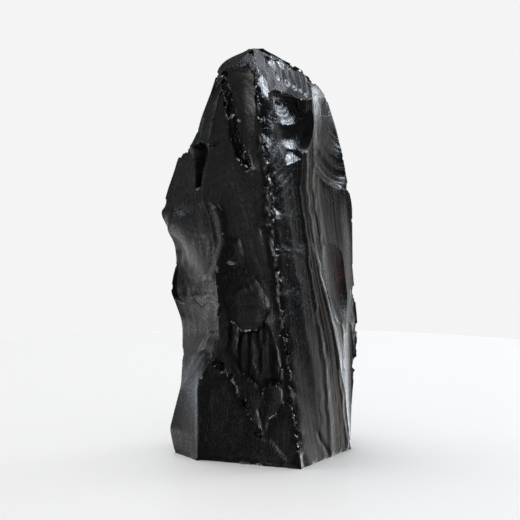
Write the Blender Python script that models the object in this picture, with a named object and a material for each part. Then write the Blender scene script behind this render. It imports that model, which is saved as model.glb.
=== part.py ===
"""A raw block of obsidian: one piece of volcanic glass, broken to shape and standing on a flat base.

The blank is a sheet wrapped round seven upright ridge lines, which are the lines where two broken faces meet.
Every flake that came off the blank left a shallow dish, and each dish is cut from it in turn.
Sizes are in millimetres until a mesh is made. X is to the right, Y to the back and Z up.
"""

import math

import bmesh
import bpy
import numpy as np
from mathutils import Vector

MM = 0.001

# Driving sizes of the blank
BLANK_HEIGHT = 198.0
SOFTEN = 1.5
LEAST_STEP = 1.2
MOST_STEP = 10.0
BOX_CENTRE = (-0.771, 0.931)

# The seven ridge lines from the top down, each point as (height, x, y)
RIDGES = {
    "arris": [
        (198, -3.6, -3), (194, -3.8, -8), (190, -3.4, -10.5), (178, -2, -12.5), (164, 0, -14), (145, 2, -17),
        (131, 3, -19), (117, 5, -21), (100, 7, -23), (84, 8.5, -25), (65, 10.5, -28), (35, 14, -32),
        (18, 16.5, -34), (0, 19, -36),
    ],
    "crest": [
        (198, -1, 3.5), (197, 0.5, 5.5), (195.5, 4, 9), (192.5, 8, 13.5), (189.5, 13.5, 17), (186.5, 18.5, 18.5),
        (184, 21.5, 16.5), (181, 23.4, 12.5), (178, 24.3, 8), (175, 24.5, 4), (165, 24, 2), (155, 22.5, 0),
        (142, 21, -2), (129, 20.5, -4), (117, 21.5, -5), (105, 23, -5), (96, 25.5, -5), (84, 28.5, -5),
        (72, 32, -4), (56, 35.5, -1), (39, 38.5, 3), (19, 43, 8), (0, 46.6, 11.5),
    ],
    "right_edge": [
        (198, 0, 5.5), (196.5, 1.8, 8), (195.5, 5, 11), (192.5, 9, 15.5), (189.5, 15, 19.5), (186, 20.5, 22),
        (181, 24.5, 23.5), (179, 27.4, 24), (173, 31.6, 24), (161, 35.4, 24), (146, 40, 24), (139, 41.5, 24),
        (122, 44.5, 24), (87, 45, 23), (62, 47.5, 22), (32, 46.5, 19), (0, 47.3, 13.5),
    ],
    "back_right": [
        (198, -1.5, 7), (196, 0, 12), (192, 5, 20), (186, 11, 27), (178, 16, 31.5), (169, 17.2, 34.5),
        (160, 20.5, 34), (147, 21.5, 36.5), (133, 26, 35.6), (120, 25.5, 37.5), (104, 28.5, 36.6), (92, 26.5, 38),
        (80, 28.8, 37), (62, 25, 38), (50, 28.4, 36), (38, 26, 37.2), (24, 22.5, 37.6), (12, 25, 35.6), (0, 22, 36),
    ],
    "back_left": [
        (198, -4, 6), (196, -7, 9.5), (192, -10, 15), (186, -13, 21), (178, -15, 26), (168, -15.5, 29),
        (160, -18.8, 28.6), (146, -18.5, 31.5), (134, -22.4, 30.2), (120, -21.5, 32.8), (101, -26, 31.6),
        (88, -24, 34), (74, -28.5, 32.6), (58, -26, 34.2), (46, -29.5, 32), (30, -26.5, 33.6), (14, -29.4, 31),
        (0, -26, 32),
    ],
    "wing": [
        (198, -5.5, 1), (196.5, -9, 3), (194.5, -13.4, 5), (193, -16.8, 7), (189, -21, 8), (177, -24.8, 8),
        (165, -29.4, 8), (157, -31.6, 8), (151, -35.7, 8.5), (148, -39.3, 8.5), (144, -41.2, 8), (138, -43, 7.5),
        (129.5, -46, 7), (117.5, -49.3, 5), (111, -46, 5), (102, -42.6, 5.5), (94, -41.8, 6), (86, -43.8, 5),
        (79.5, -44.6, 4), (74, -42.5, 5), (66, -39.8, 6), (61, -39.1, 6), (44, -39.3, 6), (33, -40, 5),
        (21.5, -43, 3), (12, -45.4, 1), (2.5, -43.5, 0), (0, -42.5, 0),
    ],
    "inner": [
        (198, -4.6, -1.5), (195, -8, -4), (192, -12.5, -3), (188.5, -18, -1.5), (185, -20.5, -1), (168, -23.5, -1),
        (150, -26, -3), (134, -28.5, -4), (125, -28.5, -6), (118, -25, -9), (106, -22.5, -12), (96, -21, -14),
        (60, -21, -17), (51, -24, -17), (43, -28.5, -16), (36, -31.5, -15), (0, -31.5, -17.5),
    ],
}

# Each face starts at the ridge it is named for: its strips, and how far its middle is hollowed
FACES = {
    "arris": (9, 1.5),
    "crest": (8, 0.6),
    "right_edge": (6, 2.0),
    "back_right": (6, 2.0),
    "back_left": (7, 3.0),
    "wing": (8, 0.5),
    "inner": (9, 0.6),
}

# Swells on the faces: the face, the line along its top as (height, x), its height, its widths left and right
SWELLS = {
    "flute": (
        "wing",
        [
            (115, -47.7), (111.5, -43.8), (108.5, -40.4), (105, -37), (100, -34.5), (94.5, -32.6), (88, -31.6),
            (79.5, -31.6),
        ],
        4.2, 5.3, 12.0,
    ),
    "right_swell": (
        "arris",
        [(170, 3.8), (131.5, 7.7), (110.5, 11.6), (89, 15.5), (65.5, 19.8), (37, 25.2), (-6, 34)],
        2.4, 9.0, 9.0,
    ),
}
SWELL_END = 0.15

# Flake scars: centre (x, y, z), way it faces (azimuth, elevation), lean, half width, half height, depth.
# Azimuth 0 faces the front, 90 the right and 180 the back.
SCARS = {
    "top_right_scoop": ((10, 0, 184), (42, 34), 8, 12, 10, 1.8),
    "pointed_facet": ((-8, -9, 164), (-20, 3), -8, 8, 26, 1.2),
    "chipped_step": ((-17, -4.5, 160), (-38, 3), -14, 6, 22, 1.2),
    "upper_body": ((-13, -10.5, 127), (-28, 4), 4, 13, 22, 0.8),
    "shoulder_notch": ((-30.7, -0.9, 141.3), (-26, 5), -8, 3.6, 10.5, 2.4),
    "middle_dish": ((-8, -19, 79), (-20, 2), 6, 12, 16, 2.0),
    "black_zone": ((-1, -23.5, 53), (-20, 2), -10, 10, 14, 1.2),
    "lower_body": ((-19, -22, 22), (-29, 2), -24, 12, 26, 1.0),
    "foot_scar": ((5, -30.5, 28), (-14, 2), -8, 6, 12, 1.5),
    "right_scoop": ((13.5, -4.5, 163), (40, -4), -16, 11, 12, 2.2),
    "bright_scoop": ((11.6, -2.8, 166), (40, 25), -20, 4.4, 8.5, 1.4),
    "right_upper_dish": ((32, 11, 156), (54, 6), -14, 11, 24, 1.6),
    "right_lower_dish": ((36, 9, 101), (52, 0), -12, 12, 28, 2.0),
    "right_strip": ((43, 12, 50), (68, 0), -4, 8, 50, 1.4),
    "back_top": ((-3, 17.6, 190), (182, 48), 14, 11, 8, 1.2),
    "back_upper": ((4, 36, 140), (176, 8), 6, 26, 42, 5.0),
    "back_lower": ((-6, 35, 62), (186, -3), -8, 28, 44, 4.0),
    "back_right_upper": ((32.3, 29.9, 140), (144, 6), 10, 12, 38, 2.5),
    "back_right_lower": ((37.2, 30.0, 58), (139, -2), -6, 12, 42, 2.5),
    "back_left_upper": ((-25.2, 17.6, 150), (232, 10), -6, 12, 32, 3.0),
    "back_left_lower": ((-33, 18.2, 72), (236, 0), 6, 12, 40, 3.0),
    "back_left_foot": ((-33, 17.2, 18), (236, -8), 0, 11, 18, 2.5),
}
SCAR_STRIPS = 9
SCAR_REACH = 1.4
SCAR_LID = 40.0
RIM_WAVE = 0.08


def clear_scene():
    for obj in list(bpy.data.objects):
        bpy.data.objects.remove(obj, do_unlink=True)


def collection_named(name):
    collection = bpy.data.collections.new(name)
    bpy.context.scene.collection.children.link(collection)
    return collection


def in_place(x, y, z):
    """A point of the stone in metres, with the origin under the middle of its bounding box."""
    return Vector((x - BOX_CENTRE[0], y - BOX_CENTRE[1], z)) * MM


def level_heights():
    """Heights of the rows of points: every corner of the outline at both sides, with the wide gaps halved."""
    corners = sorted({point[0] for name in ("wing", "right_edge") for point in RIDGES[name]})
    heights = [corners[0]]
    for height in corners[1:]:
        if height - heights[-1] < LEAST_STEP:
            continue
        parts = math.ceil((height - heights[-1]) / MOST_STEP)
        heights += [heights[-1] + (height - heights[-1]) * part / parts for part in range(1, parts + 1)]
    return heights


def ridge_point(name, height):
    """Where a ridge line stands at a height, with its corners eased over a few millimetres."""
    points = sorted(RIDGES[name])
    heights = [point[0] for point in points]
    around = np.clip(height + SOFTEN * np.array([-1.0, -0.5, 0.0, 0.5, 1.0]), 0.0, BLANK_HEIGHT)
    x = np.interp(around, heights, [point[1] for point in points]).mean()
    y = np.interp(around, heights, [point[2] for point in points]).mean()
    return np.array([x, y])


def swell_at(face, height, x):
    """How far the swells of a face stand out at a place, in millimetres."""
    total = 0.0
    for owner, line, rise, left, right in SWELLS.values():
        top, bottom = line[0][0], line[-1][0]
        if owner != face or not bottom < height < top:
            continue
        line = sorted(line)
        offset = x - np.interp(height, [point[0] for point in line], [point[1] for point in line])
        width = left if offset < 0 else right
        share = (top - height) / (top - bottom)
        fade = min(1.0, share / SWELL_END, (1 - share) / SWELL_END)
        total += rise * fade * math.exp(-((abs(offset) / width) ** 1.5))
    return total


def blank_outline(height):
    """The points round the blank at a height, anticlockwise from the arris and back to it."""
    names = list(RIDGES)
    outline = []
    for name, following in zip(names, names[1:] + names[:1]):
        strips, hollow = FACES[name]
        start, end = ridge_point(name, height), ridge_point(following, height)
        along = end - start
        inwards = np.array([-along[1], along[0]]) / np.linalg.norm(along)
        for step in range(strips):
            share = step / strips
            point = start + share * along + 4 * share * (1 - share) * hollow * inwards
            fade = min(1.0, 4 * share, 4 * (1 - share))
            outline.append(point - fade * swell_at(name, height, point[0]) * inwards)
    outline.append(outline[0])
    return outline


def object_from(bm, name, material, collection):
    mesh = bpy.data.meshes.new(name)
    bm.to_mesh(mesh)
    bm.free()
    mesh.materials.append(material)
    obj = bpy.data.objects.new(name, mesh)
    collection.objects.link(obj)
    return obj


def make_blank(material, collection):
    """A flat sheet, wrapped round the ridge lines, sewn along its seam and closed at both ends."""
    columns = sum(strips for strips, hollow in FACES.values())
    bm = bmesh.new()
    heights = level_heights()
    levels = len(heights) - 1
    bmesh.ops.create_grid(bm, x_segments=columns, y_segments=levels, size=0.5)
    outlines = [blank_outline(height) for height in heights]
    for vert in bm.verts:
        column = round((vert.co.x + 0.5) * columns)
        level = round((vert.co.y + 0.5) * levels)
        x, y = outlines[level][column]
        vert.co = in_place(x, y, heights[level])
    bmesh.ops.remove_doubles(bm, verts=bm.verts, dist=0.01 * MM)
    open_edges = [edge for edge in bm.edges if edge.is_boundary]
    bmesh.ops.holes_fill(bm, edges=open_edges, sides=0)
    bmesh.ops.recalc_face_normals(bm, faces=bm.faces)
    return object_from(bm, "obsidian_block", material, collection)


def scar_axes(azimuth, elevation, lean):
    """The scar's own right, up and outward directions."""
    turn, rise, roll = math.radians(azimuth), math.radians(elevation), math.radians(lean)
    outward = Vector((math.sin(turn) * math.cos(rise), -math.cos(turn) * math.cos(rise), math.sin(rise)))
    up = (Vector((0, 0, 1)) - outward * outward.z).normalized()
    right = up.cross(outward)
    leaned_right = right * math.cos(roll) - up * math.sin(roll)
    leaned_up = up * math.cos(roll) + right * math.sin(roll)
    return leaned_right, leaned_up, outward


def make_scar(name, material, collection):
    """A cutter with a dished underside and a flat lid, which stands over the place where a flake came off."""
    centre, facing, lean, half_width, half_height, depth = SCARS[name]
    right, up, outward = scar_axes(*facing, lean)
    bm = bmesh.new()
    bmesh.ops.create_grid(bm, x_segments=SCAR_STRIPS, y_segments=SCAR_STRIPS, size=SCAR_REACH)
    lifted = bmesh.ops.extrude_face_region(bm, geom=list(bm.faces))
    lid = {item for item in lifted["geom"] if isinstance(item, bmesh.types.BMVert)}
    for vert in bm.verts:
        across, along = vert.co.x, vert.co.y
        angle = math.atan2(along, across)
        wave = 1 + RIM_WAVE * math.sin(3 * angle + half_width) + RIM_WAVE * math.sin(2 * angle + half_height)
        dish = depth * ((across * across + along * along) * wave - 1)
        height = SCAR_LID if vert in lid else dish
        place = Vector(centre) + right * across * half_width + up * along * half_height + outward * height
        vert.co = in_place(*place)
    cutter = object_from(bm, "scar_" + name, material, collection)
    cutter.hide_render = True
    cutter.display_type = "WIRE"
    return cutter


def obsidian():
    """Black volcanic glass with a polished look on its fresh breaks."""
    material = bpy.data.materials.new("obsidian")
    material.use_nodes = True
    shader = material.node_tree.nodes["Principled BSDF"]
    shader.inputs["Base Color"].default_value = (0.008, 0.008, 0.009, 1.0)
    shader.inputs["Roughness"].default_value = 0.08
    shader.inputs["Metallic"].default_value = 0.0
    shader.inputs["IOR"].default_value = 1.49
    return material


def main():
    clear_scene()
    parts = collection_named("obsidian_block")
    cutters = collection_named("flake_scars")
    glass = obsidian()
    block = make_blank(glass, parts)
    for name in SCARS:
        cut = block.modifiers.new(name, "BOOLEAN")
        cut.operation = "DIFFERENCE"
        cut.solver = "EXACT"
        cut.object = make_scar(name, glass, cutters)


main()
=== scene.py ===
# %% [markdown]
# # A raw block of obsidian
# This lesson builds one natural stone: a tall block of black volcanic glass, broken to shape all round.
# The CAD frame gives its place and main form. Here the same form is made again with a fine mesh,
# so that the sharp scars, ripples and crushed edges are real geometry.

# %% Load the frame
import math

import bpy
import numpy as np
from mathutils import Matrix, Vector


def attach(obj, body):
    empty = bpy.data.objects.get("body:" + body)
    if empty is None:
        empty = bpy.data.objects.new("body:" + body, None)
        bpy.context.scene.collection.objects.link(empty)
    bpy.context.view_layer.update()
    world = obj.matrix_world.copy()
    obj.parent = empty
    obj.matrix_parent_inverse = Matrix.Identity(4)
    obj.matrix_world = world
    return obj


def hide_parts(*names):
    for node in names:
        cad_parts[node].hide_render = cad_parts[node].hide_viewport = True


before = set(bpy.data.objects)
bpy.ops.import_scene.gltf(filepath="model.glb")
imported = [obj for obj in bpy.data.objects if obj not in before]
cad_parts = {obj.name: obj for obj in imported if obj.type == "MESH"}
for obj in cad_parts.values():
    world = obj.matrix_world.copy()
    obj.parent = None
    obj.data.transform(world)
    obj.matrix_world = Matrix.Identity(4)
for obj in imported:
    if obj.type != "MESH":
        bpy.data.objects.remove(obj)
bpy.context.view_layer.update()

# %% [markdown]
# The photograph was taken from a little above the stone and from some way off, so the sides hardly
# converge. A long lens at about a metre gives the same view. The camera looks along +Y.

# %% Camera
MM = 0.001
PHOTO_SIZE = 520
CAMERA_RISE = math.radians(8)
CAMERA_DISTANCE = 1.1
LOOK_AT = Vector((-0.0003, -0.001, 0.0958))
LENS = 156.7
SENSOR = 36
AWAY = Vector((0, -math.cos(CAMERA_RISE), math.sin(CAMERA_RISE)))


def make_camera():
    """A still camera in front of the stone, raised by a few degrees."""
    bpy.ops.object.camera_add()
    camera = bpy.context.active_object
    camera.location = LOOK_AT + AWAY * CAMERA_DISTANCE
    camera.rotation_euler = (-AWAY).to_track_quat("-Z", "Y").to_euler()
    camera.data.lens = LENS
    camera.data.sensor_width = SENSOR
    camera.data.clip_start = 0.05
    bpy.context.scene.camera = camera
    return camera


camera = make_camera()
print("camera stands at", [round(v, 3) for v in camera.location])

# %% [markdown]
# The stone's outline comes from seven upright ridge lines, the lines where two broken faces meet.
# They could be drawn as curves and skinned, but a sheet wrapped round them keeps its rows and columns,
# and its UV map then runs along the stone like the streaks in the glass. Points are (height, x, y) in mm.

# %% Ridge lines
BLANK_HEIGHT = 198.0
SOFTEN = 1.5
BOX_CENTRE = np.array([-0.784, 1.045, 0.0])
RIDGES = {
    "arris": [
        (198, -3.6, -3), (194, -3.8, -8), (190, -3.4, -10.5), (178, -2, -12.5), (164, 0, -14), (145, 2, -17),
        (131, 3, -19), (117, 5, -21), (100, 7, -23), (84, 8.5, -25), (65, 10.5, -28), (35, 14, -32),
        (18, 16.5, -34), (0, 19, -36),
    ],
    "crest": [
        (198, -1, 3.5), (197, 0.5, 5.5), (195.5, 4, 9), (192.5, 8, 13.5), (189.5, 13.5, 17),
        (186.5, 18.5, 18.5), (184, 21.5, 16.5), (181, 23.4, 12.5), (178, 24.3, 8), (175, 24.5, 4),
        (165, 24, 2), (155, 22.5, 0), (142, 21, -2), (129, 20.5, -4), (117, 21.5, -5), (105, 23, -5),
        (96, 25.5, -5), (84, 28.5, -5), (72, 32, -4), (56, 35.5, -1), (39, 38.5, 3), (19, 43, 8),
        (0, 46.6, 11.5),
    ],
    "right_edge": [
        (198, 0, 5.5), (196.5, 1.8, 8), (195.5, 5, 11), (192.5, 9, 15.5), (189.5, 15, 19.5), (186, 20.5, 22),
        (181, 24.5, 23.5), (179, 27.4, 24), (173, 31.6, 24), (161, 35.4, 24), (146, 40, 24), (139, 41.5, 24),
        (122, 44.5, 24), (87, 45, 23), (62, 47.5, 22), (32, 46.5, 19), (0, 47.3, 13.5),
    ],
    "back_right": [
        (198, -1.5, 7), (196, 0, 12), (192, 5, 20), (186, 11, 27), (178, 16, 31.5), (169, 17.2, 34.5),
        (160, 20.5, 34), (147, 21.5, 36.5), (133, 26, 35.6), (120, 25.5, 37.5), (104, 28.5, 36.6),
        (92, 26.5, 38), (80, 28.8, 37), (62, 25, 38), (50, 28.4, 36), (38, 26, 37.2), (24, 22.5, 37.6),
        (12, 25, 35.6), (0, 22, 36),
    ],
    "back_left": [
        (198, -4, 6), (196, -7, 9.5), (192, -10, 15), (186, -13, 21), (178, -15, 26), (168, -15.5, 29),
        (160, -18.8, 28.6), (146, -18.5, 31.5), (134, -22.4, 30.2), (120, -21.5, 32.8), (101, -26, 31.6),
        (88, -24, 34), (74, -28.5, 32.6), (58, -26, 34.2), (46, -29.5, 32), (30, -26.5, 33.6),
        (14, -29.4, 31), (0, -26, 32),
    ],
    "wing": [
        (198, -5.5, 1), (196.5, -9, 3), (194.5, -13.4, 5), (193, -16.8, 7), (189, -21, 8), (177, -24.8, 8),
        (165, -29.4, 8), (157, -31.6, 8), (151, -35.7, 8.5), (148, -39.3, 8.5), (144, -41.2, 8),
        (138, -43, 7.5), (129.5, -46, 7), (117.5, -49.3, 5), (111, -46, 5), (102, -42.6, 5.5),
        (94, -41.8, 6), (86, -43.8, 5), (79.5, -44.6, 4), (74, -42.5, 5), (66, -39.8, 6), (61, -39.1, 6),
        (44, -39.3, 6), (33, -40, 5), (21.5, -43, 3), (12, -45.4, 1), (2.5, -43.5, 0), (0, -42.5, 0),
    ],
    "inner": [
        (198, -4.6, -1.5), (195, -8, -4), (192, -12.5, -3), (188.5, -18, -1.5), (185, -20.5, -1),
        (168, -23.5, -1), (150, -26, -3), (134, -28.5, -4), (125, -28.5, -6), (118, -25, -9),
        (106, -22.5, -12), (96, -21, -14), (60, -21, -17), (51, -24, -17), (43, -28.5, -16),
        (36, -31.5, -15), (0, -31.5, -17.5),
    ],
}
print("ridge lines:", ", ".join(RIDGES))

# %% [markdown]
# Each face runs from its own ridge to the next one and is hollowed a little between them, as a break in
# glass is. The faces towards the camera get narrower strips, because they carry the finest streaks.

# %% Faces between the ridges
LEVELS = 250
# strips, hollow in mm, streak height in mm
FACES = {
    "arris": (66, 1.5, 0.06),
    "crest": (56, 0.6, 0.08),
    "right_edge": (24, 2.0, 0.25),
    "back_right": (30, 2.0, 0.25),
    "back_left": (26, 3.0, 0.25),
    "wing": (42, 0.5, 0.16),
    "inner": (68, 0.6, 0.10),
}
FRONT_FACES = ("arris", "crest", "wing", "inner")
COLUMNS = sum(strips for strips, hollow, streaks in FACES.values())
HEIGHTS = np.linspace(0, BLANK_HEIGHT, LEVELS + 1)


def ridge_line(name, heights):
    """The x and y of a ridge at many heights, with its corners eased over a few millimetres."""
    points = np.array(sorted(RIDGES[name]))
    eased = np.zeros((len(heights), 2))
    steps = SOFTEN * np.array([-1.0, -0.5, 0.0, 0.5, 1.0])
    for step in steps:
        near = np.clip(heights + step, 0, BLANK_HEIGHT)
        eased[:, 0] += np.interp(near, points[:, 0], points[:, 1])
        eased[:, 1] += np.interp(near, points[:, 0], points[:, 2])
    return eased / len(steps)


def wrapped_points():
    """The blank's points as rows of levels, each row running anticlockwise from the arris back to it."""
    names = list(RIDGES)
    columns = []
    for name, following in zip(names, names[1:] + names[:1]):
        strips, hollow, streaks = FACES[name]
        start, end = ridge_line(name, HEIGHTS), ridge_line(following, HEIGHTS)
        along = end - start
        inwards = np.column_stack([-along[:, 1], along[:, 0]])
        inwards /= np.linalg.norm(inwards, axis=1)[:, None]
        for step in range(strips):
            share = step / strips
            columns.append(start + share * along + 4 * share * (1 - share) * hollow * inwards)
    columns.append(columns[0])
    flat = np.stack(columns, axis=1)
    return np.dstack([flat, np.broadcast_to(HEIGHTS[:, None], flat.shape[:2])]) - BOX_CENTRE


def face_of_columns():
    """For every column, the name of its face and how far across that face it is."""
    names, shares = [], []
    for name, (strips, hollow, streaks) in FACES.items():
        names += [name] * strips
        shares += [step / strips for step in range(strips)]
    return np.array(names + [names[0]]), np.array(shares + [0.0])


FACE_NAMES, FACE_SHARES = face_of_columns()
print(COLUMNS, "columns by", LEVELS, "levels")

# %% [markdown]
# Streaks run down a break like the grain of torn wood. They come from a soft noise that is stretched
# along the stone. It is made from a seeded table of random numbers, so every run gives the same stone.

# %% Streaks


def held(values):
    """Values kept between 0 and 1."""
    return np.clip(values, 0, 1)


def soft_noise(across, along, seed):
    """Smooth noise between 0 and 1 on a square lattice with one random number at each whole number."""
    table = np.random.default_rng(seed).random((97, 89))
    column, row = np.floor(across).astype(int), np.floor(along).astype(int)
    u, v = across - column, along - row
    u, v = u * u * (3 - 2 * u), v * v * (3 - 2 * v)
    near = table[column % 97, row % 89] * (1 - u) + table[(column + 1) % 97, row % 89] * u
    far = table[column % 97, (row + 1) % 89] * (1 - u) + table[(column + 1) % 97, (row + 1) % 89] * u
    return near * (1 - v) + far * v


def ridged(across, along, waves, seed, shift=0):
    """Sharp-crested waves between about -1 and 1, each with a width, a length, a share and a seed step."""
    total = 0
    for width, length, share, step in waves:
        wave = soft_noise(across / width + shift, along / length, seed + step)
        total = total + share * (1 - 2 * np.abs(2 * wave - 1))
    return total


def streaks_at(across, along, seed):
    """Streaks of three widths. Both inputs are in mm."""
    drift = 3 * soft_noise(across / 20, along / 30, seed + 9)
    waves = ((5.0, 70, 0.55, 50), (2.4, 45, 0.3, 24), (1.3, 30, 0.15, 13))
    return ridged(across + drift, along, waves, seed)


def terraces_at(across, along, seed):
    """Small flat steps between 0 and 1, as crushed glass has. Both inputs are in mm."""
    wide = soft_noise(across / 2.6, along / 4.0, seed)
    narrow = soft_noise(across / 1.3, along / 1.9, seed + 1)
    return np.floor((wide + 0.5 * narrow) * 5) / 6


# %% [markdown]
# The larger marks of the front are carved as strokes, drawn as they are seen from the front. A stroke is
# a line of points read from the photograph in its frame of 520 pixels, with a height in mm and a width in
# pixels on each side. The plus side lies to the right of a stroke that runs down.

# %% Strokes of the front
# height and width on the plus side, height and width on the minus side, points
STROKES = {
    "pointed_facet_edge": (1.3, 11, -0.7, 6, [(222, 74), (230, 93), (234, 117), (239, 142), (251, 169)]),
    "wing_flute": (4.2, 26, 4.2, 11, [
        (164, 219), (172, 227), (179, 234), (186, 242), (191, 252), (195, 264), (197, 278), (197, 296),
    ]),
    "right_swell": (2.4, 20, 2.4, 18, [
        (270, 110), (278, 190), (286, 235), (294, 280), (303, 330), (314, 390), (332, 480),
    ]),
    "fan_start": (1.3, 2.2, 1.3, 2.2, [(272, 57), (277, 66), (283, 82)]),
    "fan_one": (1.5, 2.2, 1.5, 2.2, [(280, 60), (285, 70), (291, 86)]),
    "fan_two": (1.6, 2.2, 1.6, 2.2, [(288, 65), (292, 75), (297, 92)]),
    "fan_three": (1.6, 2.0, 1.6, 2.0, [(296, 70), (299, 79), (302, 94)]),
    "fan_four": (1.4, 1.8, 1.4, 1.8, [(303, 75), (305, 84), (307, 96)]),
    "dish_arc": (-0.8, 7, 0.5, 4, [(313, 140), (316, 159), (319, 174), (328, 184), (338, 188)]),
    "inner_fold_left": (0.9, 4, -0.5, 7, [
        (209, 200), (212, 209), (217, 222), (219, 232), (220, 242), (217, 252), (213, 265), (207, 284),
    ]),
    "inner_fold_right": (0.8, 2.5, -0.3, 3, [
        (216, 200), (221, 213), (222, 228), (224, 240), (224, 255), (220, 265), (218, 282), (217, 330),
    ]),
    "tongue_edge": (0.2, 5, 0.2, 4, [(250, 236), (253, 245), (258, 258), (265, 273), (268, 290)]),
    "upper_body_fold": (0.5, 16, 0.5, 16, [(232, 150), (240, 175), (246, 205), (250, 240)]),
    "upper_body_step": (0.5, 5, -0.3, 3, [(250, 170), (254, 190), (259, 215), (262, 236)]),
    "middle_dish_rim": (0.6, 8, -0.3, 6, [(224, 264), (233, 266), (241, 269), (250, 274), (262, 285)]),
    "step_under_dish": (0.7, 6, -0.9, 10, [
        (236, 352), (241, 338), (244, 332), (258, 331), (264, 324), (270, 310),
    ]),
    "lower_ridge": (0.7, 9, -0.2, 4, [
        (205, 351), (215, 362), (226, 371), (236, 390), (247, 416), (258, 431), (266, 442),
    ]),
    "upper_crossing": (0.5, 2, 0.5, 3, [(209, 332), (203, 343), (198, 353), (185, 376)]),
    "lower_crossing": (0.5, 2, 0.5, 3, [(205, 351), (200, 360), (195, 368), (181, 387)]),
    "flute_terminus": (0.4, 5, 0.1, 4, [
        (191, 288), (195, 299), (202, 307), (208, 304), (213, 296), (215, 286),
    ]),
    "flute_ripple": (0.2, 4, 0.1, 3, [(195, 287), (199, 295), (205, 297), (210, 288)]),
    "foot_scar_rim": (0.4, 5, -0.4, 5, [
        (276, 380), (282, 390), (283, 405), (279, 413), (270, 418), (265, 433),
    ]),
    "left_groove": (-0.2, 1.6, -0.2, 1.6, [(209, 388), (210, 410), (210, 434)]),
    "black_groove_left": (-0.25, 1.8, -0.25, 1.8, [(245, 334), (246, 356), (247, 378)]),
    "black_groove_middle": (-0.3, 2.2, -0.3, 2.2, [(251, 334), (252, 360), (256, 386)]),
    "black_groove_right": (-0.2, 1.6, -0.2, 1.6, [(257, 335), (260, 355), (263, 376)]),
    "low_groove": (-0.5, 1.5, -0.5, 1.5, [(316, 430), (322, 443), (329, 456)]),
}
# the notch's line, its depth in mm, and its width to each side in pixels at the top and the bottom
NOTCH = [(200, 150), (200, 164), (197, 187)]
NOTCH_DEPTH = 4.0
NOTCH_WIDTHS = (8.5, 2.0)

# %% [markdown]
# Between the strokes lie patches, the small faces left by single breaks. A patch is an outline in the
# same pixels. It is sunk and hollowed a little, tilted, and where the glass is crushed it is stepped.

# %% Patches of the front
# sunk in mm, hollow in mm, tilt in mm for each 10 pixels (right, down), crushed steps in mm, outline
PATCHES = {
    "pointed_facet": (0, 0.8, (0.35, -0.15), 0, [
        (224, 74), (252, 62), (257, 90), (255, 132), (251, 168), (240, 142), (235, 117), (231, 93),
    ]),
    "chipped_step": (1.2, 0, (-1.0, 0.1), 1.0, [
        (218, 77), (224, 74), (231, 93), (235, 117), (240, 142), (251, 169), (237, 158), (228, 137),
        (226, 108),
    ]),
    "upper_band": (0.2, 0.6, (-0.5, 0.4), 0.1, [
        (208, 96), (218, 77), (226, 108), (228, 137), (214, 147), (199, 143),
    ]),
    "side_hollow": (0.2, 0.9, (0.4, 0), 0, [(225, 236), (241, 238), (246, 268), (232, 264), (225, 262)]),
    "middle_dish": (0.2, 0.6, (0.1, -0.2), 0, [
        (220, 268), (233, 266), (250, 274), (264, 286), (270, 300), (266, 322), (258, 331), (243, 332),
        (230, 322), (221, 300),
    ]),
    "black_zone": (0.4, 0, (0.1, -0.15), 0.25, [
        (230, 322), (243, 332), (258, 331), (268, 322), (284, 370), (282, 384), (262, 390), (240, 372),
        (226, 350),
    ]),
    "crossing": (0.1, 0, (0.2, 0.2), 0.2, [
        (209, 332), (217, 330), (226, 350), (215, 361), (205, 351), (198, 353),
    ]),
    "lower_body": (0, 0.5, (0.1, -0.2), 0.05, [
        (206, 353), (226, 372), (247, 417), (268, 436), (294, 466), (198, 466), (197, 380),
    ]),
    "lower_middle": (0.2, 0.3, (-0.3, 0.1), 0.3, [
        (226, 350), (240, 372), (262, 390), (258, 410), (264, 438), (247, 416),
    ]),
    "foot_scar": (0.4, 1.4, (-0.4, 0.2), 0, [
        (264, 380), (276, 379), (283, 390), (284, 405), (279, 413), (270, 418), (264, 428), (256, 410),
        (258, 392),
    ]),
    "left_facet": (0.6, 0.4, (1.4, 0), 0, [
        (177, 250), (186, 248), (191, 262), (192, 285), (184, 304), (173, 300), (170, 286),
    ]),
    "top_scoop": (0.2, 1.8, (0, 0), 0.1, [
        (264, 56), (280, 60), (302, 69), (312, 82), (314, 96), (306, 100), (282, 101), (270, 94),
    ]),
    "upper_dish": (0.1, 0.9, (0, 0), 0, [
        (315, 98), (329, 98), (341, 140), (346, 176), (340, 189), (326, 184), (317, 172), (314, 140),
    ]),
    "scoop_hollow": (0.2, 1.4, (0, 0), 0.25, [
        (282, 101), (310, 100), (308, 137), (300, 160), (283, 163), (275, 140),
    ]),
}
# how far inside its outline a patch is at full depth, and its hollow at its deepest, in pixels
PATCH_RIM = 1.6
PATCH_BOWL = 12.0
# how much shade is painted into the streaks under the middle dish and on the left facet, out of 1
PAINTED_SHADE_STREAKS = 0.4
PAINTED_SHADE_FACET = 0.22
# the right face's streaks run down between guides, each the x of one streak at these rows, left to right
GUIDE_ROWS = [55, 100, 140, 190, 235, 283, 335, 390, 430, 466]
GUIDES = [
    [256, 261, 263, 268, 273, 278, 284, 291, 297, 302],
    [264, 272, 275, 280, 284, 288, 294, 300, 306, 311],
    [276, 286, 290, 292, 295, 300, 305, 310, 315, 320],
    [294, 305, 303, 299, 304, 311, 319, 324, 328, 331],
    [303, 311, 307, 306, 311, 320, 333, 340, 345, 348],
    [306, 314, 313, 312, 318.5, 331, 342, 348, 351, 352],
    [312, 324, 326, 322, 328, 341, 350, 354, 354, 354],
    [322, 340, 345, 350, 352, 356, 358, 358, 356, 355],
]
# rows over which a guide's corners are eased, the row where the streaks start, their height in mm, and
# the gap between guides in pixels that gives it
GUIDE_EASE = 14
FLOW_TOP = 95
FLOW_HEIGHT = 0.18
FLOW_GAP = 12
# past this guide and above this row the streaks are calmer
CALM_GUIDE = 5
CALM_ROW = 300
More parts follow.
